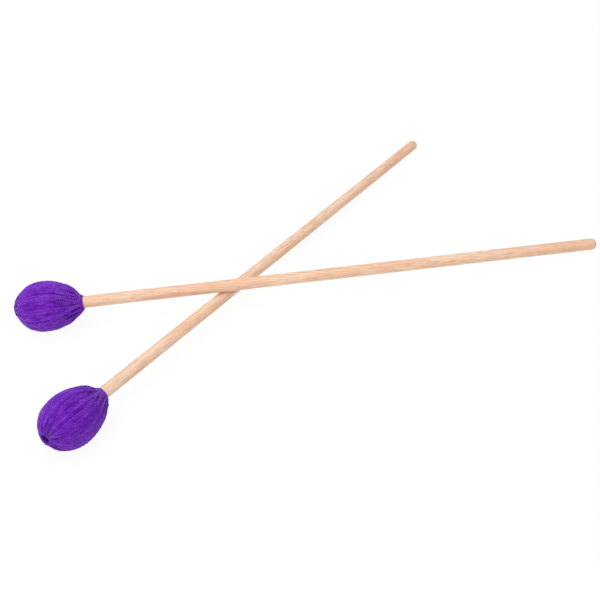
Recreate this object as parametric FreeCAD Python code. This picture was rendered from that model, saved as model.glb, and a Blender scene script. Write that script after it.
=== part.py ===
# Pair of yarn-wound marimba mallets, the upper one laid across the lower one.
# Each mallet is modelled along its own +X, from its crown at zero to its butt, and then laid down.
import FreeCAD, Part

import math
import os

from FreeCAD import Placement, Rotation, Vector

os.makedirs("parts", exist_ok=True)

# Driving dimensions of one mallet, in millimetres
mallet_length = 400.0
shaft_diameter = 8.0
head_diameter = 34.0
head_length = 46.0
crown_face_diameter = 9.8
neck_shoulder_diameter = 13.9
widest_share = 0.428

# Shaft, whose tip stops under the crown
butt_rounding = 2.4
tip_depth = 6.0

# Rubber core, an egg with flat ends, under this thickness of yarn
winding_thickness = 5.0
core_narrowing = 9.0
core_past_tip = 2.0
core_to_neck_ring = 5.6

# Yarn, and the last layer of it
yarn_diameter = 1.5
yarn_sides = 5
loop_count = 12
winding_clearance = 0.2
least_gap_allowed = 0.4
points_per_arc = 8

# Where the yarn turns back: long turns stand clear of the rings, short ones at a share of the head's radius
crown_turn_clearance = 2.2
neck_turn_clearance = 2.5
short_turn_share = 0.753
first_end_share = 0.87

# Stitched rings at the crown and the neck
crown_ring_diameter = 9.2
crown_ring_height = 3.0
crown_ring_bulge = 5.0
crown_hole_diameter = 4.8
neck_ring_diameter = 11.8
neck_ring_height = 3.4
neck_ring_bulge = 6.3
ring_clearance = 0.1

# How the pair lies: headings in plan, in degrees, and where the shafts cross, from each crown
upper_heading = 7.9
lower_heading = 52.4
upper_cross_station = 140.3
lower_cross_station = 157.8
crossing_clearance = 0.15
settling_rounds = 4

# Derived sizes
shaft_radius = shaft_diameter / 2
head_radius = head_diameter / 2
yarn_radius = yarn_diameter / 2
crown_ring_radius = crown_ring_diameter / 2
crown_hole_radius = crown_hole_diameter / 2
neck_ring_radius = neck_ring_diameter / 2
neck_ring_start = head_length - neck_ring_height
crown_to_widest = head_length * widest_share
core_diameter = head_diameter - 2 * winding_thickness
core_end_diameter = core_diameter - core_narrowing
core_start = tip_depth + core_past_tip
core_end = neck_ring_start - core_to_neck_ring
crown_turn_radius = crown_ring_radius + crown_turn_clearance
neck_turn_radius = neck_ring_radius + neck_turn_clearance
short_turn_radius = head_radius * short_turn_share
first_end_radius = head_radius * first_end_share
crown_drop = head_radius - crown_face_diameter / 2
neck_drop = head_radius - neck_shoulder_diameter / 2
neck_reach = neck_ring_start - crown_to_widest
crown_arc_radius = (crown_to_widest ** 2 + crown_drop ** 2) / (2 * crown_drop)
neck_arc_radius = (neck_reach ** 2 + neck_drop ** 2) / (2 * neck_drop)
strand_count = 2 * loop_count
strand_step = 2 * math.pi / strand_count
floor_cut = yarn_diameter / 10


# Turned solids

def line(a, b):
    return Part.LineSegment(Vector(*a, 0), Vector(*b, 0)).toShape()


def arc(a, middle, b):
    return Part.Arc(Vector(*a, 0), Vector(*middle, 0), Vector(*b, 0)).toShape()


def turned(edges):
    """The solid that a closed profile of stations and radii sweeps about the mallet's axis."""
    face = Part.Face(Part.Wire(edges))
    solid = face.revolve(Vector(0, 0, 0), Vector(1, 0, 0), 360)
    return solid


def bulged(widest, end_station, bulge):
    """Arc of this radius from a widest circle, where it runs level with the axis, to another station."""
    along = end_station - widest[0]
    centre_radius = widest[1] - bulge
    turn = math.asin(along / bulge)
    middle = (widest[0] + bulge * math.sin(turn / 2), centre_radius + bulge * math.cos(turn / 2))
    return arc(widest, middle, (end_station, centre_radius + bulge * math.cos(turn)))


def bulge_between(widest, end):
    """Radius of the arc that runs level with the axis at its widest circle and ends at another circle."""
    along = end[0] - widest[0]
    drop = widest[1] - end[1]
    return (along ** 2 + drop ** 2) / (2 * drop)


# The head's outline is one arc on each side of its widest circle, and lies at a depth under its surface

def crown_station(radius, depth):
    """Station on the crown's side of the outline where it has this radius."""
    across = radius + crown_arc_radius - head_radius
    return crown_to_widest - math.sqrt((crown_arc_radius - depth) ** 2 - across ** 2)


def neck_side_radius(station, depth):
    """Radius of the neck's side of the outline at this station."""
    along = station - crown_to_widest
    return head_radius - neck_arc_radius + math.sqrt((neck_arc_radius - depth) ** 2 - along ** 2)


def make_shaft():
    side_end = mallet_length - butt_rounding
    face_radius = shaft_radius - butt_rounding
    butt_turn = math.radians(45)
    butt_middle = (side_end + butt_rounding * math.cos(butt_turn),
                   face_radius + butt_rounding * math.sin(butt_turn))
    return turned([
        line((tip_depth, 0), (tip_depth, shaft_radius)),
        line((tip_depth, shaft_radius), (side_end, shaft_radius)),
        arc((side_end, shaft_radius), butt_middle, (mallet_length, face_radius)),
        line((mallet_length, face_radius), (mallet_length, 0)),
        line((mallet_length, 0), (tip_depth, 0)),
    ])


def make_core(bore_radius):
    widest = (crown_to_widest, core_diameter / 2)
    start = (core_start, core_end_diameter / 2)
    end = (core_end, core_end_diameter / 2)
    return turned([
        bulged(widest, core_start, bulge_between(widest, start)),
        line(start, (core_start, bore_radius)),
        line((core_start, bore_radius), (core_end, bore_radius)),
        line((core_end, bore_radius), end),
        bulged(widest, core_end, bulge_between(widest, end)),
    ])


def make_inner_winding(core, shaft):
    """The yarn under its last layer, seated for both rings, round the core and the shaft."""
    depth = yarn_diameter + winding_clearance
    widest = (crown_to_widest, head_radius - depth)
    seat_radius = crown_ring_radius + ring_clearance
    crown_edge = crown_station(seat_radius, depth)
    neck_edge_radius = neck_side_radius(neck_ring_start, depth)
    filled = turned([
        bulged(widest, crown_edge, crown_arc_radius - depth),
        line((crown_edge, seat_radius), (crown_ring_height, seat_radius)),
        line((crown_ring_height, seat_radius), (crown_ring_height, crown_hole_radius)),
        line((crown_ring_height, crown_hole_radius), (tip_depth, crown_hole_radius)),
        line((tip_depth, crown_hole_radius), (tip_depth, 0)),
        line((tip_depth, 0), (neck_ring_start, 0)),
        line((neck_ring_start, 0), (neck_ring_start, neck_edge_radius)),
        bulged(widest, neck_ring_start, neck_arc_radius - depth),
    ])
    return filled.cut(core).cut(shaft)


def make_ring(seat_station, open_station, inner_radius, outer_radius, bulge):
    """A stitched ring about the axis, widest where it is seated and drawn in at its open side."""
    widest = (seat_station, outer_radius)
    open_radius = outer_radius - bulge + math.sqrt(bulge ** 2 - (open_station - seat_station) ** 2)
    return turned([
        bulged(widest, open_station, bulge),
        line((open_station, open_radius), (open_station, inner_radius)),
        line((open_station, inner_radius), (seat_station, inner_radius)),
        line((seat_station, inner_radius), widest),
    ])


# The last layer of yarn. Strands lie side by side from crown to neck. In each group of four the two inner
# ones join in a short turn, and the two outer ones draw together and join in a long turn nearer the pole.
# The groups at the neck are two strands on from those at the crown, so one yarn runs through them all.

def laid_point(side, lean, azimuth):
    """Place on the winding's centre surface, and the way along it to the crown (-1) or to the neck (+1)."""
    arc_radius = crown_arc_radius if side < 0 else neck_arc_radius
    station = crown_to_widest + side * (arc_radius - yarn_radius) * math.sin(lean)
    radius = head_radius - arc_radius + (arc_radius - yarn_radius) * math.cos(lean)
    point = Vector(station, radius * math.cos(azimuth), radius * math.sin(azimuth))
    inward = -math.sin(lean)
    way = Vector(side * math.cos(lean), inward * math.cos(azimuth), inward * math.sin(azimuth))
    return point, way


def end_point(side, radius, azimuth):
    """Place on the winding's centre surface where it has this radius, on the crown's or the neck's side."""
    arc_radius = crown_arc_radius if side < 0 else neck_arc_radius
    lean = math.acos((radius + arc_radius - head_radius) / (arc_radius - yarn_radius))
    return laid_point(side, lean, azimuth)


def strand_end(index, side, short):
    """Where a strand meets its turn at one pole, drawn towards its partner before a long turn."""
    if index == 0 and side > 0:
        return end_point(side, first_end_radius, 0)
    if short:
        return end_point(side, short_turn_radius, index * strand_step)
    place_in_group = (index if side < 0 else index - 2) % 4
    draw = 0.5 if place_in_group == 0 else -0.5
    radius = crown_turn_radius if side < 0 else neck_turn_radius
    return end_point(side, radius, (index + draw) * strand_step)


def strand_order():
    """The strands in the order that the yarn takes them: out by one of each pair and back by the other."""
    out = [i for i in range(strand_count) if i % 4 in (0, 3)]
    back = [i for i in range(strand_count) if i % 4 in (1, 2)]
    return out + back[::-1]


def yarn_places():
    """Points and directions that the yarn passes, from its first end to its last."""
    places = []
    last_index = strand_count - 2
    for step, index in enumerate(strand_order()):
        crown_end = strand_end(index, -1, index % 4 in (1, 2))
        neck_end = strand_end(index, 1, index % 4 in (0, 3) or index == last_index)
        widest = laid_point(-1, 0, index * strand_step)
        if step % 2 == 0:
            places += [(neck_end[0], -neck_end[1]), widest, crown_end]
        else:
            places += [(crown_end[0], -crown_end[1]), (widest[0], -widest[1]), neck_end]
    return places


def tangent_arc(start, way, end):
    """Arc from start to end that leaves along way."""
    chord = end - start
    along = chord / chord.Length
    half_turn = math.acos(max(-1.0, min(1.0, way.dot(along))))
    bulge = way - along * way.dot(along)
    middle = (start + end) / 2
    if bulge.Length > 0:
        middle = middle + bulge / bulge.Length * (chord.Length / 2 * math.tan(half_turn / 2))
    return Part.Arc(start, middle, end)


def biarc(start, end):
    """Two arcs, tangent where they meet, from one place and direction to another."""
    (p0, t0), (p1, t1) = start, end
    chord = p1 - p0
    both = t0 + t1
    spread = 2 * (1 - t0.dot(t1))
    lean = chord.dot(both)
    reach = (math.sqrt(lean ** 2 + spread * chord.dot(chord)) - lean) / spread
    joint = (p0 + t0 * reach + p1 - t1 * reach) / 2
    first = tangent_arc(p0, t0, joint)
    second = tangent_arc(p1, -t1, joint)
    return [first, Part.Arc(joint, second.value((second.FirstParameter + second.LastParameter) / 2), p1)]


def yarn_path():
    """The yarn's centre line: a straight end one diameter long, then biarcs, then the other straight end."""
    places = yarn_places()
    first, first_way = places[0]
    last, last_way = places[-1]
    curves = [Part.LineSegment(first - first_way * yarn_diameter, first)]
    for start, end in zip(places, places[1:]):
        curves += biarc(start, end)
    curves.append(Part.LineSegment(last, last + last_way * yarn_diameter))
    return curves


def least_gap(curves):
    """Least clear distance of the yarn to itself, apart from stretches that lie within one turn's length."""
    points = []
    travelled = 0
    for curve in curves:
        length = curve.length()
        first, last = curve.FirstParameter, curve.LastParameter
        for k in range(points_per_arc):
            share = k / points_per_arc
            points.append((travelled + share * length, curve.value(first + share * (last - first))))
        travelled += length
    turn_length = math.pi * yarn_diameter
    nearest = mallet_length
    for i, (here, point) in enumerate(points):
        for there, other in points[i + 1:]:
            if there - here > turn_length:
                nearest = min(nearest, point.distanceToPoint(other))
    return nearest - yarn_diameter


def make_outer_winding():
    curves = yarn_path()
    spine = Part.Wire([curve.toShape() for curve in curves])
    start = curves[0].value(curves[0].FirstParameter)
    way = curves[0].tangent(curves[0].FirstParameter)[0]
    outward = Vector(0, start.y, start.z).normalize()
    outward = (outward - way * outward.dot(way)).normalize()
    beside = way.cross(outward)
    corners = []
    for k in range(yarn_sides + 1):
        turn = 2 * math.pi * (k + 0.5) / yarn_sides
        corners.append(start + (outward * math.cos(turn) + beside * math.sin(turn)) * yarn_radius)
    shell = Part.BRepOffsetAPI.MakePipeShell(spine)
    shell.add(Part.makePolygon(corners))
    shell.build()
    shell.makeSolid()
    bends = [edge.Curve.Radius for edge in spine.Edges if hasattr(edge.Curve, "Radius")]
    gap = least_gap(curves)
    print("yarn: %d loops, %.0f mm, tightest bend %.2f mm, least gap to itself %.2f mm"
          % (loop_count, spine.Length, min(bends), gap))
    if gap <= least_gap_allowed:
        print("the yarn's loops lie too close")
    return shell.shape()


# One mallet, and the pair as it lies

def make_mallet():
    shaft = make_shaft()
    core = make_core(shaft_radius)
    return {
        "shaft": shaft,
        "core": core,
        "inner_winding": make_inner_winding(core, shaft),
        "outer_winding": make_outer_winding(),
        "crown_stitching": make_ring(crown_ring_height, 0, crown_hole_radius,
                                     crown_ring_radius, crown_ring_bulge),
        "neck_stitching": make_ring(neck_ring_start, head_length, shaft_radius,
                                    neck_ring_radius, neck_ring_bulge),
    }


def tilt_between(along, above, rise):
    """The angle whose sine times along, and cosine times above, add up to rise."""
    return math.asin(rise / math.hypot(along, above)) - math.atan2(above, along)


def direction(heading, climb):
    turn = math.radians(heading)
    return Vector(math.cos(climb) * math.cos(turn), math.cos(climb) * math.sin(turn), math.sin(climb))


def lower_rest():
    """Climb of the lower mallet, on its head and the edge of its butt, and its height at the crossing."""
    to_butt = mallet_length - butt_rounding - crown_to_widest
    above = neck_arc_radius - head_radius + shaft_radius - butt_rounding
    drop = tilt_between(to_butt, above, neck_arc_radius - floor_cut - butt_rounding)
    at_widest = neck_arc_radius - floor_cut - (neck_arc_radius - head_radius) * math.cos(drop)
    return -drop, at_widest - (lower_cross_station - crown_to_widest) * math.sin(drop)


def upper_rest(lower_climb, lower_height):
    """Climb of the upper mallet, on its head and the lower shaft, and its height at the crossing."""
    climb = 0
    for _ in range(settling_rounds):
        normal = direction(upper_heading, climb).cross(direction(lower_heading, lower_climb))
        height = lower_height + (shaft_diameter + crossing_clearance) * normal.Length / abs(normal.z)
        climb = tilt_between(upper_cross_station - crown_to_widest, head_radius - crown_arc_radius,
                             height - crown_arc_radius + floor_cut)
    return climb, height


def laid(heading, climb, station, height):
    """Placement that sets a mallet's axis at this height over the crossing, at this station."""
    turn = Rotation(Vector(0, 0, 1), heading) * Rotation(Vector(0, 1, 0), -math.degrees(climb))
    return Placement(Vector(0, 0, height) - direction(heading, climb) * station, turn)


def floor_under(winding):
    """The space under the floor below a head, which flattens the yarn that the head stands on."""
    box = winding.BoundBox
    corner_below = Vector(box.XMin, box.YMin, -head_diameter)
    return Part.makeBox(box.XLength, box.YLength, head_diameter, corner_below)


def main():
    lower_climb, lower_height = lower_rest()
    upper_climb, upper_height = upper_rest(lower_climb, lower_height)
    mallet = make_mallet()
    places = {
        "lower": laid(lower_heading, lower_climb, lower_cross_station, lower_height),
        "upper": laid(upper_heading, upper_climb, upper_cross_station, upper_height),
    }
    nodes = {}
    for name, place in places.items():
        for piece, solid in mallet.items():
            shape = solid.copy()
            shape.Placement = place
            if piece == "outer_winding":
                shape = shape.cut(floor_under(shape))
            nodes[name + "_" + piece] = shape
    box = Part.makeCompound(list(nodes.values())).optimalBoundingBox(False, False)
    to_origin = Vector(-box.Center.x, -box.Center.y, 0)
    for name, shape in nodes.items():
        shape.translate(to_origin)
        shape.exportStep("parts/" + name + ".step")
    print("box: %.2f x %.2f x %.2f mm" % (box.XLength, box.YLength, box.ZLength))
    print("climbs: lower %.3f, upper %.3f degrees" % (math.degrees(lower_climb), math.degrees(upper_climb)))
    print("heights over the crossing: lower %.3f, upper %.3f mm" % (lower_height, upper_height))
    print("crossing at %.3f, %.3f mm" % (to_origin.x, to_origin.y))


main()
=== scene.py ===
import math
import random

import bmesh
import bpy
from mathutils import Matrix, Vector, noise


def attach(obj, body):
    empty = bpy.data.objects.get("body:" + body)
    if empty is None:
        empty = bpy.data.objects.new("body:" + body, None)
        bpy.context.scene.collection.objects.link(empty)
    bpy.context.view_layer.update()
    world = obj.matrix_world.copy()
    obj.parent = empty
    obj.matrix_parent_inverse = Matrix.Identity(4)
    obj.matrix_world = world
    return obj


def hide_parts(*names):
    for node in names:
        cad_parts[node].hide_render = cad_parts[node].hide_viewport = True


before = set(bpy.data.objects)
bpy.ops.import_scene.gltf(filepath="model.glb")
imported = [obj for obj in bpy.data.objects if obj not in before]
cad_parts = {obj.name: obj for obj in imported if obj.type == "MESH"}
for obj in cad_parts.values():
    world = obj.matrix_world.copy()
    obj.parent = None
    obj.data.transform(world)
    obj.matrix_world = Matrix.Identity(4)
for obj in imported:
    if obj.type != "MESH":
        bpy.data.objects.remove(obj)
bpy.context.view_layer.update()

print("frame loaded:", ", ".join(sorted(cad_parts)))

# lengths are in metres and angles in degrees, unless a note says otherwise
# a station is a distance along a mallet, from its crown

# where each mallet lies, how its head is pulled in at both ends, and how much painted shade darkens its
# yarn
mallets = {
    "lower": {"crown": (-0.155205, -0.157489, 0.017528), "heading": 52.4, "climb": -1.950, "seed": 8,
              "crownDip": 0.0016, "dipToward": 126.0, "pinchToward": 36.0,
              "crownSqueeze": 0.22, "neckSqueeze": 0.60, "paintedShade": 0.09},
    "upper": {"crown": (-0.197890, -0.051813, 0.016283), "heading": 7.9, "climb": 1.656, "seed": 23,
              "crownDip": 0.0005, "dipToward": 200.0, "pinchToward": 45.0,
              "crownSqueeze": 0.30, "neckSqueeze": 0.34, "paintedShade": 0.0},
}

# the head's outline: one arc towards the crown and one towards the neck, from the widest circle
outlineSizes = {"radius": 0.017, "widest": 0.019688, "crownArc": 0.02207, "neckArc": 0.03114}

# the last pull of the stitches: the crown's dip and the neck's pinch, each more on one side
headPulls = {
    "dipBase": 0.65,
    "dipAcross": 0.012,
    "dipFade": (0.0035, 0.0115),  # the dip fades out between these radii
    "dipDepth": (0.004, 0.012),  # and between these stations
    "pinchBase": 0.03,
    "pinchSide": 0.36,
    "pinchStart": 0.040,
    "pinchFull": 0.0445,
    "shaftRadius": 0.00405,
    "floorGap": 0.00005,
}


def easeIn(value, start, end):
    # 0 up to the start, 1 from the end on, smooth between
    share = min(1.0, max(0.0, (value - start) / (end - start)))
    return share * share * (3 - 2 * share)


def placeOf(mallet):
    turn = Matrix.Rotation(math.radians(mallet["heading"]), 4, "Z")
    lift = Matrix.Rotation(-math.radians(mallet["climb"]), 4, "Y")
    return Matrix.Translation(mallet["crown"]) @ turn @ lift


def outlinePlace(along, depth):
    # station and radius, this far from the widest circle (towards the crown is negative) and this deep
    bend = outlineSizes["crownArc"] if along < 0 else outlineSizes["neckArc"]
    lean = abs(along) / bend
    reach = (bend - depth) * math.sin(lean)
    station = outlineSizes["widest"] + (reach if along > 0 else -reach)
    return station, outlineSizes["radius"] - bend + (bend - depth) * math.cos(lean)


def around(station, radius, azimuth):
    # a point from its place along, out from and round the mallet's axis, the last in radians
    return Vector((station, radius * math.cos(azimuth), radius * math.sin(azimuth)))


def settle(mesh, mallet):
    # pulls the head in at both ends, takes it to its place and presses it flat where it stands
    dipWay = math.radians(mallet["dipToward"])
    pinchWay = math.radians(mallet["pinchToward"])
    shaftRadius = headPulls["shaftRadius"]
    for vertex in mesh.vertices:
        spot = vertex.co
        radius = math.hypot(spot.y, spot.z)
        fade = (1 - easeIn(radius, *headPulls["dipFade"])) * (1 - easeIn(spot.x, *headPulls["dipDepth"]))
        side = spot.y * math.cos(dipWay) + spot.z * math.sin(dipWay)
        spot.x += mallet["crownDip"] * fade * (headPulls["dipBase"] + side / headPulls["dipAcross"])
        if spot.x > headPulls["pinchStart"] and radius > shaftRadius:
            side = math.cos(math.atan2(spot.z, spot.y) - pinchWay)
            pull = ((headPulls["pinchBase"] + headPulls["pinchSide"] * side)
                    * easeIn(spot.x, headPulls["pinchStart"], headPulls["pinchFull"]))
            scale = (shaftRadius + (radius - shaftRadius) * (1 - pull)) / radius
            spot.y *= scale
            spot.z *= scale
    mesh.transform(placeOf(mallet))
    for vertex in mesh.vertices:
        vertex.co.z = max(vertex.co.z, headPulls["floorGap"])


def addObject(name, data):
    thing = bpy.data.objects.new(name, data)
    bpy.context.scene.collection.objects.link(thing)
    return thing


def facing(stand, aim):
    toward = Vector(aim) - Vector(stand)
    return Matrix.Translation(stand) @ toward.to_track_quat("-Z", "Y").to_matrix().to_4x4()


# camera

view = {
    "stand": (-0.008653, -0.428928, 0.405730),
    "aim": (-0.008653, -0.025698, 0.0),
    "lens": 48.98,  # this and the sensor in millimetres
    "sensor": 36.0,
    "roll": 0.161,
}


def makeCamera():
    data = bpy.data.cameras.new("camera")
    data.lens = view["lens"]
    data.sensor_width = view["sensor"]
    camera = addObject("camera", data)
    roll = Matrix.Rotation(math.radians(view["roll"]), 4, "Z")
    camera.matrix_world = facing(view["stand"], view["aim"]) @ roll
    bpy.context.scene.camera = camera


makeCamera()
print("camera set")


# shader maths as plain expressions

class Value:
    # one output socket of a node
    def __init__(self, finish, node, output):
        self.finish = finish
        self.node = node
        self.socket = node.outputs[output]

    def take(self, output):
        return Value(self.finish, self.node, output)

    def __add__(self, other):
        return self.finish.maths("ADD", self, other)

    def __radd__(self, other):
        return self.finish.maths("ADD", other, self)

    def __sub__(self, other):
        return self.finish.maths("SUBTRACT", self, other)

    def __rsub__(self, other):
        return self.finish.maths("SUBTRACT", other, self)

    def __mul__(self, other):
        return self.finish.maths("MULTIPLY", self, other)

    def __rmul__(self, other):
        return self.finish.maths("MULTIPLY", other, self)


class Finish:
    # the nodes of one material, or of the world
    def __init__(self, owner):
        owner.use_nodes = True
        self.owner = owner
        self.tree = owner.node_tree
        self.tree.nodes.clear()

    def add(self, kind, settings=None, inputs=None, output=0):
        node = self.tree.nodes.new(kind)
        for name, setting in (settings or {}).items():
            setattr(node, name, setting)
        pairs = inputs.items() if isinstance(inputs, dict) else enumerate(inputs or [])
        for name, value in pairs:
            if isinstance(value, Value):
                self.tree.links.new(value.socket, node.inputs[name])
            else:
                node.inputs[name].default_value = value
        return Value(self, node, output) if node.outputs else None

    def maths(self, operation, *terms):
        return self.add("ShaderNodeMath", {"operation": operation}, terms)

    def vector(self, x, y, z):
        return self.add("ShaderNodeCombineXYZ", {}, [x, y, z])

    def mixColour(self, share, first, second):
        # a Mix node's colours are its inputs 6 and 7 and its output 2
        colours = {6: first if isinstance(first, Value) else (*first, 1.0),
                   7: second if isinstance(second, Value) else (*second, 1.0)}
        return self.add("ShaderNodeMix", {"data_type": "RGBA"}, {0: share, **colours}, 2)

    def band(self, value, low, high):
        # 0 at low, 1 at high, smooth between
        return self.add("ShaderNodeMapRange", {"interpolation_type": "SMOOTHSTEP"},
                        {"Value": value, "From Min": low, "From Max": high})

    def noise(self, place, scale, detail=2.0, roughness=0.5):
        return self.add("ShaderNodeTexNoise", {}, {"Vector": place, "Scale": scale,
                                                   "Detail": detail, "Roughness": roughness})

    def bump(self, height, strength, distance):
        return self.add("ShaderNodeBump", {}, {"Strength": strength, "Distance": distance,
                                               "Height": height})

    def surface(self, **inputs):
        shader = self.add("ShaderNodeBsdfPrincipled", {}, {name.replace("_", " "): value
                                                           for name, value in inputs.items()})
        self.add("ShaderNodeOutputMaterial", {}, {"Surface": shader})
        return self.owner


# yarn

yarnLook = {
    "dark": (0.064, 0.0012, 0.243),
    "mean": (0.103, 0.0041, 0.333),
    "light": (0.252, 0.054, 0.572),
    "fibreStretch": (4.5, 1.6, 1.0),  # along a strand, round it, and across from strand to strand
    "fibreNoise": (3.0, 3.0, 0.6),  # scale, detail and roughness, here and in the next two
    "threadNoise": (1.0, 3.0, 0.6),
    "blotchNoise": (210.0, 2.0, 0.5),
    "toneSteps": (57.0, 31.0, 17.0),  # how far a strand's tone moves its patterns
    "streaksAlong": 6.0,
    "threadsAlong": 20.0,
    "threadsRound": 30.0,
    "threadsSlant": 110.0,
    "fibreShare": 0.34,
    "threadShare": 0.22,
    "blotchShare": 0.16,
    "streakShare": 0.44,
    "toneShare": 0.10,
    "lowered": 0.145,
    "darkBand": (0.10, 0.50),
    "lightBand": (0.32, 0.82),
    "smoothest": 0.62,
    "fibreRoughness": 0.25,
    "fibreRelief": 0.4,
    "threadRelief": 0.6,
    "relief": (0.9, 0.00028),  # strength and height
    "sheenRoughness": 0.35,
    "sheenTint": (0.72, 0.55, 1.0, 1.0),
    "specular": 0.04,
    "outerSheen": 0.60,
    "stitchSheen": 0.3,
    # painted shade: the stitches and the inner yarn are mixed this far towards the dark yarn colour, for
    # the shade where they lie deep in the head
    "stitchPaintedShade": 0.15,
    "innerPaintedShade": 0.10,
}


def yarnFinish(name, paintedShade, sheen):
    # the map runs along a strand in u and once round it in v, and each strand has its own tone
    finish = Finish(bpy.data.materials.new(name))
    look = yarnLook
    uv = finish.add("ShaderNodeUVMap", {"uv_map": "UVMap"})
    u = finish.add("ShaderNodeSeparateXYZ", {}, [uv])
    v = u.take("Y")
    tone = finish.add("ShaderNodeAttribute", {"attribute_name": "strandTone"}, output="Fac")
    moved = [tone * step for step in look["toneSteps"]]
    shift = finish.vector(*moved)
    stretched = finish.add("ShaderNodeVectorMath", {"operation": "MULTIPLY"}, [uv, look["fibreStretch"]])
    fibrePlace = finish.add("ShaderNodeVectorMath", {"operation": "ADD"}, [stretched, shift])
    fibres = finish.noise(fibrePlace, *look["fibreNoise"])
    blotches = finish.noise(finish.add("ShaderNodeTexCoord", output="Object"), *look["blotchNoise"])
    streaks = finish.noise(finish.vector(u * look["streaksAlong"] + moved[0], moved[1], 0.0), 1.0)
    turning = v * look["threadsRound"] + u * look["threadsSlant"]
    threadPlace = finish.vector(u * look["threadsAlong"], turning, moved[1])
    threads = finish.noise(threadPlace, *look["threadNoise"])
    mix = (fibres * look["fibreShare"] + threads * look["threadShare"] + blotches * look["blotchShare"]
           + streaks * look["streakShare"] + tone * look["toneShare"] - look["lowered"])
    lit = finish.mixColour(finish.band(mix, *look["lightBand"]), look["mean"], look["light"])
    colour = finish.mixColour(finish.band(mix, *look["darkBand"]), look["dark"], lit)
    # painted shade: the colour is mixed towards the dark yarn colour by the paintedShade share
    withPaintedShade = finish.mixColour(paintedShade, colour, look["dark"])
    roughness = fibres * look["fibreRoughness"] + look["smoothest"]
    height = fibres * look["fibreRelief"] + threads * look["threadRelief"]
    return finish.surface(Base_Color=withPaintedShade, Roughness=roughness, Sheen_Weight=sheen,
                          Sheen_Roughness=look["sheenRoughness"], Sheen_Tint=look["sheenTint"],
                          Specular_IOR_Level=look["specular"], Normal=finish.bump(height, *look["relief"]))


# strands are curves with a section of three plies, which turns as it goes

plies = {"count": 3, "waist": 0.80, "shoulder": 0.94, "turn": 0.0088}
plyReach = [1.0, plies["shoulder"], plies["waist"], plies["shoulder"]]
sectionCorners = plies["count"] * len(plyReach)


def makePlySection():
    data = bpy.data.curves.new("plySection", "CURVE")
    data.dimensions = "2D"
    section = data.splines.new("POLY")
    section.points.add(sectionCorners - 1)
    for corner in range(sectionCorners):
        angle = 2 * math.pi * corner / sectionCorners
        reach = plyReach[corner % len(plyReach)]
        section.points[corner].co = (reach * math.cos(angle), reach * math.sin(angle), 0, 1)
    section.use_cyclic_u = True
    return bpy.data.objects.new("plySection", data)


plySection = makePlySection()


def makeStrands(name, strands, thickness, steps, mallet, draws):
    # each strand is a list of (point, share of the full thickness), as long as the others of its piece
    data = bpy.data.curves.new(name, "CURVE")
    data.dimensions = "3D"
    data.bevel_mode = "OBJECT"
    data.bevel_object = plySection
    data.use_fill_caps = True
    data.twist_mode = "MINIMUM"
    data.resolution_u = steps
    for strand in strands:
        spline = data.splines.new("NURBS")
        spline.points.add(len(strand) - 1)
        tilt = draws.uniform(0, 2 * math.pi)
        last = strand[0][0]
        for point, (where, share) in zip(spline.points, strand):
            tilt += 2 * math.pi * (where - last).length / plies["turn"]
            last = where
            point.co = (*where, 1)
            point.tilt = tilt
            point.radius = share * thickness / 2
        spline.order_u = 4
        spline.use_endpoint_u = True
    holder = addObject(name + "Curve", data)
    bpy.context.view_layer.update()
    mesh = bpy.data.meshes.new_from_object(holder.evaluated_get(bpy.context.evaluated_depsgraph_get()))
    bpy.data.objects.remove(holder)
    bpy.data.curves.remove(data)
    mesh.name = name
    toneOf = mesh.attributes.new("strandTone", "FLOAT", "POINT")
    perEnds = 2 * sectionCorners  # the mesh holds both end faces of every strand first, then their sides
    allEnds = perEnds * len(strands)
    perSides = len(mesh.vertices) // len(strands) - perEnds
    tones = [draws.random() for _ in strands]
    for number, entry in enumerate(toneOf.data):
        owner = number // perEnds if number < allEnds else (number - allEnds) // perSides
        entry.value = tones[owner]
    settle(mesh, mallet)
    for face in mesh.polygons:
        face.use_smooth = True
    return addObject(name, mesh)


def dressNode(piece, finish, name, node):
    # the piece takes the place of a node of the CAD and moves with its mallet
    piece.data.materials.append(finish)
    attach(piece, name + "_mallet")
    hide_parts(node)


# outer yarn: strands side by side from crown to neck, drawn into bundles at both ends

outerYarn = {
    "strands": 62,
    "thickness": 0.00228,
    "points": 23,
    "steps": 3,
    "depth": 0.00092,
    "ownDepth": 0.00034,
    "unevenness": 0.16,  # of the step from strand to strand
    "crownEnd": -0.0243,
    "neckEnd": 0.0254,
    "crownBundles": (3, 4),
    "neckBundles": (3, 4),
    "neckOffset": 2,  # the neck's bundles start this many strands on
    "crownGather": 0.0140,
    "neckGather": 0.0190,
    "gatherSpread": 0.0035,
    "gatherEnd": 0.0008,
    "gatherChange": 0.30,
    "crownSink": 0.00045,
    "neckSink": 0.0,
    "bundleArch": 0.00042,
    "archPower": 1.3,
    "tuck": 0.00032,
    "crownThinning": 0.50,
    "neckThinning": 0.46,
    "mostProud": 0.00025,
    "wander": 0.00034,
    "ownWander": 0.00018,
    "lift": 0.00036,
    "gatherSeed": 80,
    "gatherFineness": 170.0,
    "wanderSeed": 40,
    "wanderFineness": 75.0,
    "ownSeedStep": 0.61,  # from strand to strand
    "ownFineness": 150.0,
    "liftSeedStep": 0.37,
    "liftFineness": 170.0,
    # station, radius and share of the thickness of the points beyond the outline
    "crownTail": [(0.0020, 0.0043, 0.65)],
    "neckTail": [(0.0434, 0.00555, 0.58), (0.0442, 0.00495, 0.58), (0.0444, 0.00450, 0.58)],
    "strays": 10,
    "strayRise": 0.00030,
    "strayDrift": 0.34,  # radians, of which each stray takes a share
    "strayShare": (0.4, 1.0),
    "strayPath": (-0.004, 0.024),
}
crossers = {
    "count": 11,
    "start": (0.004, 0.011),
    "drift": (1.6, 3.6),  # in steps from strand to strand
    "driftPath": (0.2, 1.0),
    "depth": 0.00020,
    "startDepth": 0.0018,
    "rise": (0.0, 0.45),  # the share of the way on which it comes up and thickens
    "thin": 0.34,
    "thicken": 0.18,
    "tail": [(0.0434, 0.0055, 0.50), (0.0442, 0.0049, 0.48)],
}


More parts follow.
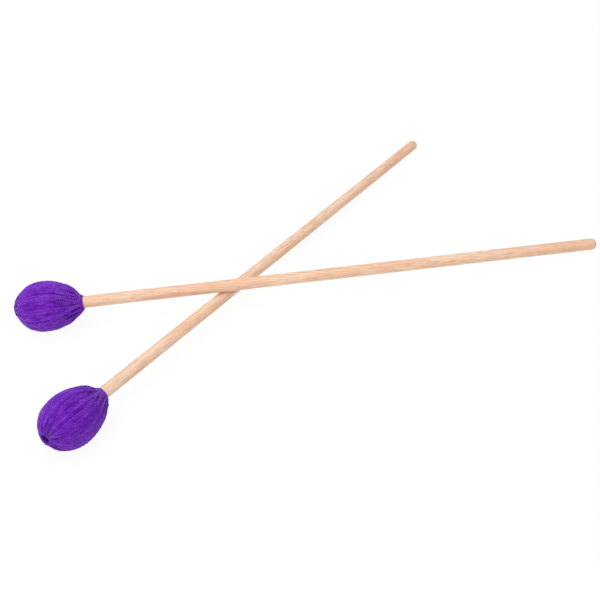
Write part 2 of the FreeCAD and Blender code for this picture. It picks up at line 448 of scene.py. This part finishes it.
def bundlesOf(count, fewest, most, draws):
    # for each strand: its bundle's middle, its place from that middle, and a random share for its bundle
    places = []
    while len(places) < count:
        left = count - len(places)
        size = draws.randint(fewest, most)
        if left - size < fewest:
            size = left
        middle = len(places) + (size - 1) / 2
        share = draws.random()
        places += [(middle, len(places) + k - middle, share) for k in range(size)]
    return places


def shiftBundles(bundles, offset):
    count = len(bundles)
    moved = []
    for k in range(count):
        middle, place, share = bundles[(k + offset) % count]
        moved.append((middle - offset + (count if k + offset >= count else 0), place, share))
    return moved


wobbleSizes = {"radius": 0.016, "seedSteps": (3.7, 1.3, 2.1)}


def wobble(along, azimuth, seed, fineness):
    # noise that is smooth all round the head, and another for another seed
    spot = around(along, wobbleSizes["radius"], azimuth) * fineness
    return noise.noise(spot + Vector([seed * step for step in wobbleSizes["seedSteps"]]))


def tailOf(places, azimuth):
    return [(around(station, radius, azimuth), share) for station, radius, share in places]


def outerStrand(index, crownPlace, neckPlace, mallet, draws, stray=False):
    yarn = outerYarn
    seed = mallet["seed"]
    step = 2 * math.pi / yarn["strands"]
    own = (index + draws.uniform(-yarn["unevenness"], yarn["unevenness"])) * step
    ownDepth = yarn["depth"] + draws.random() * yarn["ownDepth"]
    drift = 0.0
    if stray:
        drift = draws.choice((-1, 1)) * draws.uniform(*yarn["strayShare"]) * yarn["strayDrift"]
    gatherWave = (seed + yarn["gatherSeed"], yarn["gatherFineness"])
    wanderWave = (seed + yarn["wanderSeed"], yarn["wanderFineness"])
    ownWave = (seed + yarn["wanderSeed"] + index * yarn["ownSeedStep"], yarn["ownFineness"])
    liftWave = (seed + index * yarn["liftSeedStep"], yarn["liftFineness"])
    strand = []
    for k in range(yarn["points"]):
        along = yarn["crownEnd"] + (yarn["neckEnd"] - yarn["crownEnd"]) * k / (yarn["points"] - 1)
        azimuth = own + drift * easeIn(along, *yarn["strayPath"])
        depth = ownDepth
        thinned = 0.0
        for pole, here, end, (middle, offset, share) in (
                ("crown", -along, -yarn["crownEnd"], crownPlace),
                ("neck", along, yarn["neckEnd"], neckPlace)):
            start = end - yarn[pole + "Gather"] + (share - 0.5) * 2 * yarn["gatherSpread"]
            pull = easeIn(here, start, end - yarn["gatherEnd"])
            thinned = max(thinned, pull * yarn[pole + "Thinning"])
            depth += pull * yarn[pole + "Sink"]
            if not stray:
                change = yarn["gatherChange"] * wobble(along, middle * step, *gatherWave)
                squeeze = mallet[pole + "Squeeze"] * (1 + change)
                azimuth += ((middle + offset * squeeze) * step - own) * pull
                depth += pull * yarn["bundleArch"] * abs(offset) ** yarn["archPower"]
                depth += pull * yarn["tuck"] * (index % 2)
        depth -= thinned * yarn["thickness"] / 2
        depth += yarn["lift"] * wobble(along, azimuth, *liftWave)
        if stray:
            depth -= yarn["strayRise"]
        least = yarn["thickness"] * (1 - thinned) / 2 - yarn["mostProud"]
        station, radius = outlinePlace(along, max(depth, least))
        sway = (yarn["wander"] * wobble(along, azimuth, *wanderWave)
                + yarn["ownWander"] * wobble(along, azimuth, *ownWave))
        strand.append((around(station, radius, azimuth + sway / radius), 1.0 - thinned))
    crownAzimuth = math.atan2(strand[0][0].z, strand[0][0].y)
    neckAzimuth = math.atan2(strand[-1][0].z, strand[-1][0].y)
    return tailOf(yarn["crownTail"], crownAzimuth) + strand + tailOf(yarn["neckTail"], neckAzimuth)


def crossingStrand(number, draws):
    # comes up between two strands on the neck's side and crosses the bundles at a slant
    step = 2 * math.pi / outerYarn["strands"]
    own = (int((number + draws.random()) * outerYarn["strands"] / crossers["count"]) + 0.5) * step
    drift = draws.choice((-1, 1)) * draws.uniform(*crossers["drift"]) * step
    start = draws.uniform(*crossers["start"])
    strand = []
    points = outerYarn["points"] + 2  # with the two of its tail, as many as in the other strands
    for k in range(points):
        share = k / (points - 1)
        up = easeIn(share, *crossers["rise"])
        along = start + (outerYarn["neckEnd"] - start) * share
        station, radius = outlinePlace(along, crossers["depth"] + crossers["startDepth"] * (1 - up))
        azimuth = own + drift * easeIn(share, *crossers["driftPath"])
        strand.append((around(station, radius, azimuth), crossers["thin"] + crossers["thicken"] * up))
    return strand + tailOf(crossers["tail"], own + drift)


def makeOuterYarn(name, mallet, finish):
    draws = random.Random(mallet["seed"])
    count = outerYarn["strands"]
    crown = bundlesOf(count, *outerYarn["crownBundles"], draws)
    neck = shiftBundles(bundlesOf(count, *outerYarn["neckBundles"], draws), outerYarn["neckOffset"])
    strands = [outerStrand(k, crown[k], neck[k], mallet, draws) for k in range(count)]
    for k in range(outerYarn["strays"]):
        index = int((k + draws.random()) * count / outerYarn["strays"]) % count
        strands.append(outerStrand(index, crown[index], neck[index], mallet, draws, stray=True))
    strands += [crossingStrand(k, draws) for k in range(crossers["count"])]
    piece = makeStrands(name + "OuterYarn", strands, outerYarn["thickness"], outerYarn["steps"],
                        mallet, draws)
    dressNode(piece, finish, name, name + "_outer_winding")


# inner yarn: strands that cross under the outer ones and over the shaft's tip

innerYarn = {
    "strands": 64,
    "thickness": 0.00140,
    "points": 14,
    "steps": 4,
    "span": (-0.0225, 0.0250),
    "depth": 0.00175,
    "layer": 0.00025,
    "ownDepth": 0.0002,
    "fineness": 200.0,
    "unevenness": 0.3,
    "slant": 0.42,  # radians, of which each strand takes a share
    "slantShare": (0.5, 1.0),
    "seedStep": 100,  # from the outer yarn's seed
    "poleSink": 0.0003,
    "neckSinks": (0.006, 0.020),
    "crownSinks": (0.008, 0.018),
    "tipStrands": 8,
    "tipSpread": 0.0022,
    "tipReach": 0.0034,
    "tipStation": 0.0040,
    "tipScatter": 0.0006,
}


def sunkAt(along):
    # how much deeper the inner yarn lies towards both ends
    return innerYarn["poleSink"] * max(easeIn(along, *innerYarn["neckSinks"]),
                                       easeIn(-along, *innerYarn["crownSinks"]))


def innerStrand(number, draws):
    offset = draws.uniform(-innerYarn["unevenness"], innerYarn["unevenness"])
    own = 2 * math.pi * (number + offset) / innerYarn["strands"]
    slant = innerYarn["slant"] * (1 if number % 2 else -1) * draws.uniform(*innerYarn["slantShare"])
    start, end = innerYarn["span"]
    strand = []
    for k in range(innerYarn["points"]):
        share = k / (innerYarn["points"] - 1)
        along = start + (end - start) * share
        depth = (innerYarn["depth"] + sunkAt(along) + innerYarn["layer"] * (number % 2)
                 + innerYarn["ownDepth"] * wobble(along, own, number, innerYarn["fineness"]))
        station, radius = outlinePlace(along, depth)
        strand.append((around(station, radius, own + slant * (share - 0.5)), 1.0))
    return strand


def tipStrand(draws):
    # crosses over the shaft's tip, at the bottom of the crown's hole
    turn = draws.uniform(0, math.pi)
    aside = Vector((0, math.cos(turn), math.sin(turn))) * innerYarn["tipSpread"] * draws.uniform(-1, 1)
    reach = Vector((0, -math.sin(turn), math.cos(turn))) * innerYarn["tipReach"]
    strand = []
    for k in range(innerYarn["points"]):
        station = innerYarn["tipStation"] + innerYarn["tipScatter"] * draws.random()
        across = 2 * k / (innerYarn["points"] - 1) - 1
        strand.append((Vector((station, 0, 0)) + aside + reach * across, 1.0))
    return strand


def makeInnerYarn(name, mallet, finish):
    draws = random.Random(mallet["seed"] + innerYarn["seedStep"])
    strands = [innerStrand(k, draws) for k in range(innerYarn["strands"])]
    strands += [tipStrand(draws) for _ in range(innerYarn["tipStrands"])]
    piece = makeStrands(name + "InnerYarn", strands, innerYarn["thickness"], innerYarn["steps"],
                        mallet, draws)
    dressNode(piece, finish, name, name + "_inner_winding")


# inner wrap: the closed body of yarn round the core, seen only at the bottom of the slits, in the yarn's
# purple darkened as painted shade

innerWrap = {
    "depth": 0.00225,
    "span": (-0.0210, 0.0245),
    "turnSteps": 64,
    "profileSteps": 14,
    # station and radius of the corners over the shaft's tip, at the neck, and back along core and shaft
    "overTip": [(0.0046, 0.0), (0.0046, 0.0037), (0.0026, 0.0039), (0.0024, 0.0048)],
    "overNeck": [(0.0440, 0.0046), (0.0444, 0.00405)],
    "overCore": [(0.0372, 0.00405), (0.0372, 0.0076), (0.0300, 0.0109), (0.0197, 0.01205),
                 (0.0120, 0.0108), (0.0078, 0.0076), (0.0078, 0.00405), (0.00595, 0.00405),
                 (0.00595, 0.0)],
    "merge": 0.00001,
    # painted shade: these colours are the yarn's purple made darker, for the shade at the bottom of the
    # slits and in the hole
    "dark": (0.034, 0.0009, 0.128),
    "pale": (0.084, 0.0022, 0.275),
    "noise": (900.0, 3.0, 0.6),  # scale, detail and roughness
    "relief": (0.8, 0.0003),  # strength and height
    "smoothest": 0.75,
    "roughness": 0.2,
    "specular": 0.04,
}


def wrapProfile():
    # station and radius round the wrap's section, from the crown's hole to the neck and back
    start, end = innerWrap["span"]
    outer = []
    for k in range(innerWrap["profileSteps"] + 1):
        along = start + (end - start) * k / innerWrap["profileSteps"]
        outer.append(outlinePlace(along, innerWrap["depth"] + sunkAt(along)))
    return innerWrap["overTip"] + outer + innerWrap["overNeck"] + innerWrap["overCore"]


def makeWrap(name, mallet, finish):
    bm = bmesh.new()
    rim = [bm.verts.new((station, radius, 0)) for station, radius in wrapProfile()]
    edges = [bm.edges.new(pair) for pair in zip(rim, rim[1:])]
    bmesh.ops.spin(bm, geom=rim + edges, cent=(0, 0, 0), axis=(1, 0, 0), angle=2 * math.pi,
                   steps=innerWrap["turnSteps"], use_merge=True)
    bmesh.ops.remove_doubles(bm, verts=bm.verts, dist=innerWrap["merge"])
    bmesh.ops.recalc_face_normals(bm, faces=bm.faces)
    for face in bm.faces:
        face.smooth = True
    mesh = bpy.data.meshes.new(name + "InnerWrap")
    bm.to_mesh(mesh)
    bm.free()
    settle(mesh, mallet)
    dressNode(addObject(name + "InnerWrap", mesh), finish, name, name + "_inner_winding")


def wrapFinish():
    finish = Finish(bpy.data.materials.new("innerWrap"))
    turns = finish.noise(finish.add("ShaderNodeTexCoord", output="Object"), *innerWrap["noise"])
    colour = finish.mixColour(turns, innerWrap["dark"], innerWrap["pale"])
    roughness = turns * innerWrap["roughness"] + innerWrap["smoothest"]
    return finish.surface(Base_Color=colour, Roughness=roughness, Specular_IOR_Level=innerWrap["specular"],
                          Normal=finish.bump(turns, *innerWrap["relief"]))


# stitches: each comes up out of the hole or from the shaft, goes part of the way round and dives in again

# a path's points are station, radius and share of the span
crownStitches = {
    "count": 12,
    "thickness": 0.00112,
    "span": 72.0,
    "path": [(0.0026, 0.00415, 0.0), (0.0015, 0.00360, 0.02), (0.00085, 0.00345, 0.10),
             (0.00055, 0.00375, 0.34), (0.00060, 0.00415, 0.64), (0.00105, 0.00480, 0.90),
             (0.0021, 0.0058, 1.0), (0.0038, 0.0067, 1.02)],
    "jitter": 0.00010,
}
neckStitches = {
    "count": 9,
    "thickness": 0.00120,
    "span": -98.0,
    "path": [(0.0408, 0.0069, 0.0), (0.0424, 0.00625, 0.02), (0.0436, 0.00548, 0.10),
             (0.0443, 0.00508, 0.30), (0.0447, 0.00480, 0.60), (0.04475, 0.00465, 0.90),
             (0.0443, 0.00450, 1.0)],
    "jitter": 0.00012,
}
stitching = {"steps": 4, "unevenness": 0.15, "spanShare": (0.9, 1.1), "thicknessShare": (0.94, 1.04)}


def makeStitches(name, pieceName, sizes, node, mallet, finish):
    draws = random.Random(mallet["seed"] + len(node))
    strands = []
    for k in range(sizes["count"]):
        offset = draws.uniform(-stitching["unevenness"], stitching["unevenness"])
        azimuth = 2 * math.pi * (k + offset) / sizes["count"]
        span = math.radians(sizes["span"]) * draws.uniform(*stitching["spanShare"])
        strand = []
        for station, radius, share in sizes["path"]:
            station += draws.uniform(-1, 1) * sizes["jitter"]
            radius += draws.uniform(-1, 1) * sizes["jitter"]
            strand.append((around(station, radius, azimuth + span * share),
                           draws.uniform(*stitching["thicknessShare"])))
        strands.append(strand)
    piece = makeStrands(name + pieceName, strands, sizes["thickness"], stitching["steps"], mallet, draws)
    dressNode(piece, finish, name, node)


# the inner yarn and the stitches carry painted shade, and so does the lower head's outer yarn, by its
# paintedShade
innerFinish = yarnFinish("innerYarn", yarnLook["innerPaintedShade"], 0.0)
stitchFinish = yarnFinish("stitchingYarn", yarnLook["stitchPaintedShade"], yarnLook["stitchSheen"])
hiddenFinish = wrapFinish()
for name, mallet in mallets.items():
    makeOuterYarn(name, mallet, yarnFinish(name + "OuterYarn", mallet["paintedShade"], yarnLook["outerSheen"]))
    makeInnerYarn(name, mallet, innerFinish)
    makeWrap(name, mallet, hiddenFinish)
    makeStitches(name, "CrownStitches", crownStitches, name + "_crown_stitching", mallet, stitchFinish)
    makeStitches(name, "NeckStitches", neckStitches, name + "_neck_stitching", mallet, stitchFinish)
    print(name, "head wound")
bpy.data.objects.remove(plySection)


# the beech shafts and the rubber cores keep their CAD shapes

millimetre = 0.001
# lengths here are in millimetres
beech = {
    "pale": (0.752, 0.575, 0.443),
    "tan": (0.576, 0.332, 0.198),
    "pink": (0.722, 0.452, 0.311),
    "fleck": (0.320, 0.142, 0.075),
    "grey": (0.245, 0.216, 0.163),
    # each pattern's length along and across the shaft, its detail and its roughness
    "drift": (70.0, 9.0, 2.0, 0.5),
    "fibres": (11.0, 0.22, 3.0, 0.6),
    "streaks": (11.0, 0.85, 3.0, 0.65),
    "patches": (9.0, 2.6, 2.0, 0.5),
    "regions": (42.0, 7.0, 2.0, 0.5),
    "flecks": (3.4, 0.27, 1.0, 0.5),
    "fleckRegions": (24.0, 5.0, 1.0, 0.5),
    "seedStep": 31.0,
    # the growth lines: how fast they pass along, across and up the shaft, their drift and their pitch
    "growth": (0.11, 0.57, 0.82),
    "growthDrift": 3.4,
    "growthPitch": 4.3,
    "regionBand": (0.34, 0.66),
    "fibreBand": (0.44, 0.74),
    "tanStreakBand": (0.50, 0.66),
    "paleStreakBand": (0.46, 0.32),
    "patchBand": (0.48, 0.66),
    "fleckBand": (0.64, 0.70),
    "fleckRegionBand": (0.42, 0.60),
    # the last millimetre before the butt end goes towards grey
    "buttBand": (398.4, 399.5),
    "growthShare": 0.62,
    "fibreShare": 0.52,
    "streakShare": 0.60,
    "patchShare": 0.42,
    "fleckShare": 0.72,
    "buttShare": 0.75,
    "fibreRelief": 0.6,
    "fleckRelief": 0.5,
    "relief": (0.25, 0.00008),  # strength, and height in metres
    "smoothest": 0.38,
    "roughness": 0.18,
    "coat": 0.04,
    "coatRoughness": 0.35,
    "specular": 0.22,
}


def beechFinish(name, mallet):
    finish = Finish(bpy.data.materials.new(name))
    place = finish.add("ShaderNodeMapping", {"vector_type": "TEXTURE"},
                       {"Vector": finish.add("ShaderNodeTexCoord", output="Object"),
                        "Location": mallet["crown"], "Rotation": placeOf(mallet).to_euler(),
                        "Scale": (millimetre, millimetre, millimetre)})
    offset = mallet["seed"] * beech["seedStep"]

    def pattern(kind):
        along, across, detail, roughness = beech[kind]
        spot = finish.add("ShaderNodeMapping", {"vector_type": "POINT"},
                          {"Vector": place, "Location": (offset, offset, 0.0),
                           "Scale": (1 / along, 1 / across, 1 / across)})
        return finish.noise(spot, 1.0, detail, roughness)

    def banded(value, kind):
        return finish.band(value, *beech[kind + "Band"])

    along = finish.add("ShaderNodeSeparateXYZ", {}, [place])
    alongRate, acrossRate, upRate = beech["growth"]
    growth = (along.take("Z") * upRate + along.take("Y") * acrossRate + along * alongRate
              + pattern("drift") * beech["growthDrift"])
    lines = finish.maths("SINE", growth * beech["growthPitch"]) * 0.5 + 0.5
    fibres = pattern("fibres")
    streaks = pattern("streaks")
    flecks = banded(pattern("flecks"), "fleck") * banded(pattern("fleckRegions"), "fleckRegion")
    base = finish.mixColour(banded(pattern("regions"), "region"), beech["pale"], beech["pink"])
    for mask, share, colour in (
            (lines * lines, "growthShare", "tan"),
            (banded(fibres, "fibre"), "fibreShare", "tan"),
            (banded(streaks, "tanStreak"), "streakShare", "tan"),
            (banded(streaks, "paleStreak"), "streakShare", "pale"),
            (banded(pattern("patches"), "patch"), "patchShare", "tan"),
            (flecks, "fleckShare", "fleck"),
            (banded(along, "butt"), "buttShare", "grey")):
        base = finish.mixColour(mask * beech[share], base, beech[colour])
    roughness = fibres * beech["roughness"] + beech["smoothest"]
    height = fibres * beech["fibreRelief"] - flecks * beech["fleckRelief"]
    return finish.surface(Base_Color=base, Roughness=roughness, Specular_IOR_Level=beech["specular"],
                          Coat_Weight=beech["coat"], Coat_Roughness=beech["coatRoughness"],
                          Normal=finish.bump(height, *beech["relief"]))


coreRubber = {
    "dark": (0.030, 0.028, 0.028),
    "pale": (0.060, 0.056, 0.054),
    "noise": (600.0, 3.0),  # scale and detail
    "relief": (0.3, 0.0001),  # strength and height
    "smoothest": 0.6,
    "roughness": 0.2,
}


def rubberFinish():
    finish = Finish(bpy.data.materials.new("coreRubber"))
    grain = finish.noise(finish.add("ShaderNodeTexCoord", output="Object"), *coreRubber["noise"])
    colour = finish.mixColour(grain, coreRubber["dark"], coreRubber["pale"])
    roughness = grain * coreRubber["roughness"] + coreRubber["smoothest"]
    return finish.surface(Base_Color=colour, Roughness=roughness,
                          Normal=finish.bump(grain, *coreRubber["relief"]))


rubber = rubberFinish()
for name, mallet in mallets.items():
    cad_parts[name + "_shaft"].material_slots[0].material = beechFinish(name + "Beech", mallet)
    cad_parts[name + "_core"].material_slots[0].material = rubber
print("shafts and cores finished")


# floor, light and world

studio = {
    "floorSize": 3.0,
    "shadowShare": 0.08,
    "floorColour": (0.90, 0.90, 0.90, 1.0),
    "white": (1.0, 1.0, 1.0, 1.0),
    "horizonStrength": 0.60,
    "zenithStrength": 1.0,
    "zenithHeight": 0.9,
    "lampAim": (-0.02, -0.03, 0.01),
    "keyPlace": (-0.36, -0.10, 0.95),
    "keySize": 0.9,
    "keyPower": 6.0,
    "fillPlace": (-0.42, -0.80, 0.36),
    "fillSize": 0.7,
    "fillPower": 1.45,
}


def seenBy(finish, first, *others):
    # 1 for these kinds of rays and 0 for the rest
    path = finish.add("ShaderNodeLightPath", output=first)
    mask = path
    for ray in others:
        mask = finish.maths("MAXIMUM", mask, path.take(ray))
    return mask


def makeFloor():
    # plain white to the eye, but for a share of its shading that keeps the object's shadow
    bm = bmesh.new()
    bmesh.ops.create_grid(bm, x_segments=1, y_segments=1, size=studio["floorSize"])
    mesh = bpy.data.meshes.new("floor")
    bm.to_mesh(mesh)
    bm.free()
    floor = addObject("floor", mesh)
    finish = Finish(bpy.data.materials.new("paleFloor"))
    plain = finish.add("ShaderNodeBsdfDiffuse", {}, {"Color": studio["floorColour"]})
    white = finish.add("ShaderNodeEmission", {}, {"Color": studio["white"], "Strength": 1.0})
    direct = seenBy(finish, "Is Camera Ray", "Is Glossy Ray", "Is Transmission Ray")
    shader = finish.add("ShaderNodeMixShader", {}, [direct * (1 - studio["shadowShare"]), plain, white])
    finish.add("ShaderNodeOutputMaterial", {}, {"Surface": shader})
    floor.data.materials.append(finish.owner)


def makeLamp(kind):
    data = bpy.data.lights.new(kind + "Lamp", "AREA")
    data.shape = "SQUARE"
    data.size = studio[kind + "Size"]
    data.energy = studio[kind + "Power"]
    addObject(kind + "Lamp", data).matrix_world = facing(studio[kind + "Place"], studio["lampAim"])


def makeWorld():
    # plain white to the eye, and a soft sky, stronger overhead, for the light
    world = bpy.data.worlds.new("studio")
    finish = Finish(world)
    way = finish.add("ShaderNodeTexCoord", output="Generated")
    height = finish.add("ShaderNodeSeparateXYZ", {}, [way], "Z")
    strength = finish.add("ShaderNodeMapRange", {}, {"Value": height, "From Max": studio["zenithHeight"],
                                                     "To Min": studio["horizonStrength"],
                                                     "To Max": studio["zenithStrength"]})
    sky = finish.add("ShaderNodeBackground", {}, {"Color": studio["white"], "Strength": strength})
    white = finish.add("ShaderNodeBackground", {}, {"Color": studio["white"], "Strength": 1.0})
    direct = seenBy(finish, "Is Camera Ray", "Is Transmission Ray")
    shader = finish.add("ShaderNodeMixShader", {}, [direct, sky, white])
    finish.add("ShaderNodeOutputWorld", {}, {"Surface": shader})
    bpy.context.scene.world = world


makeFloor()
makeLamp("key")
makeLamp("fill")
makeWorld()
bpy.context.scene.view_settings.view_transform = "Standard"
print("studio lit")
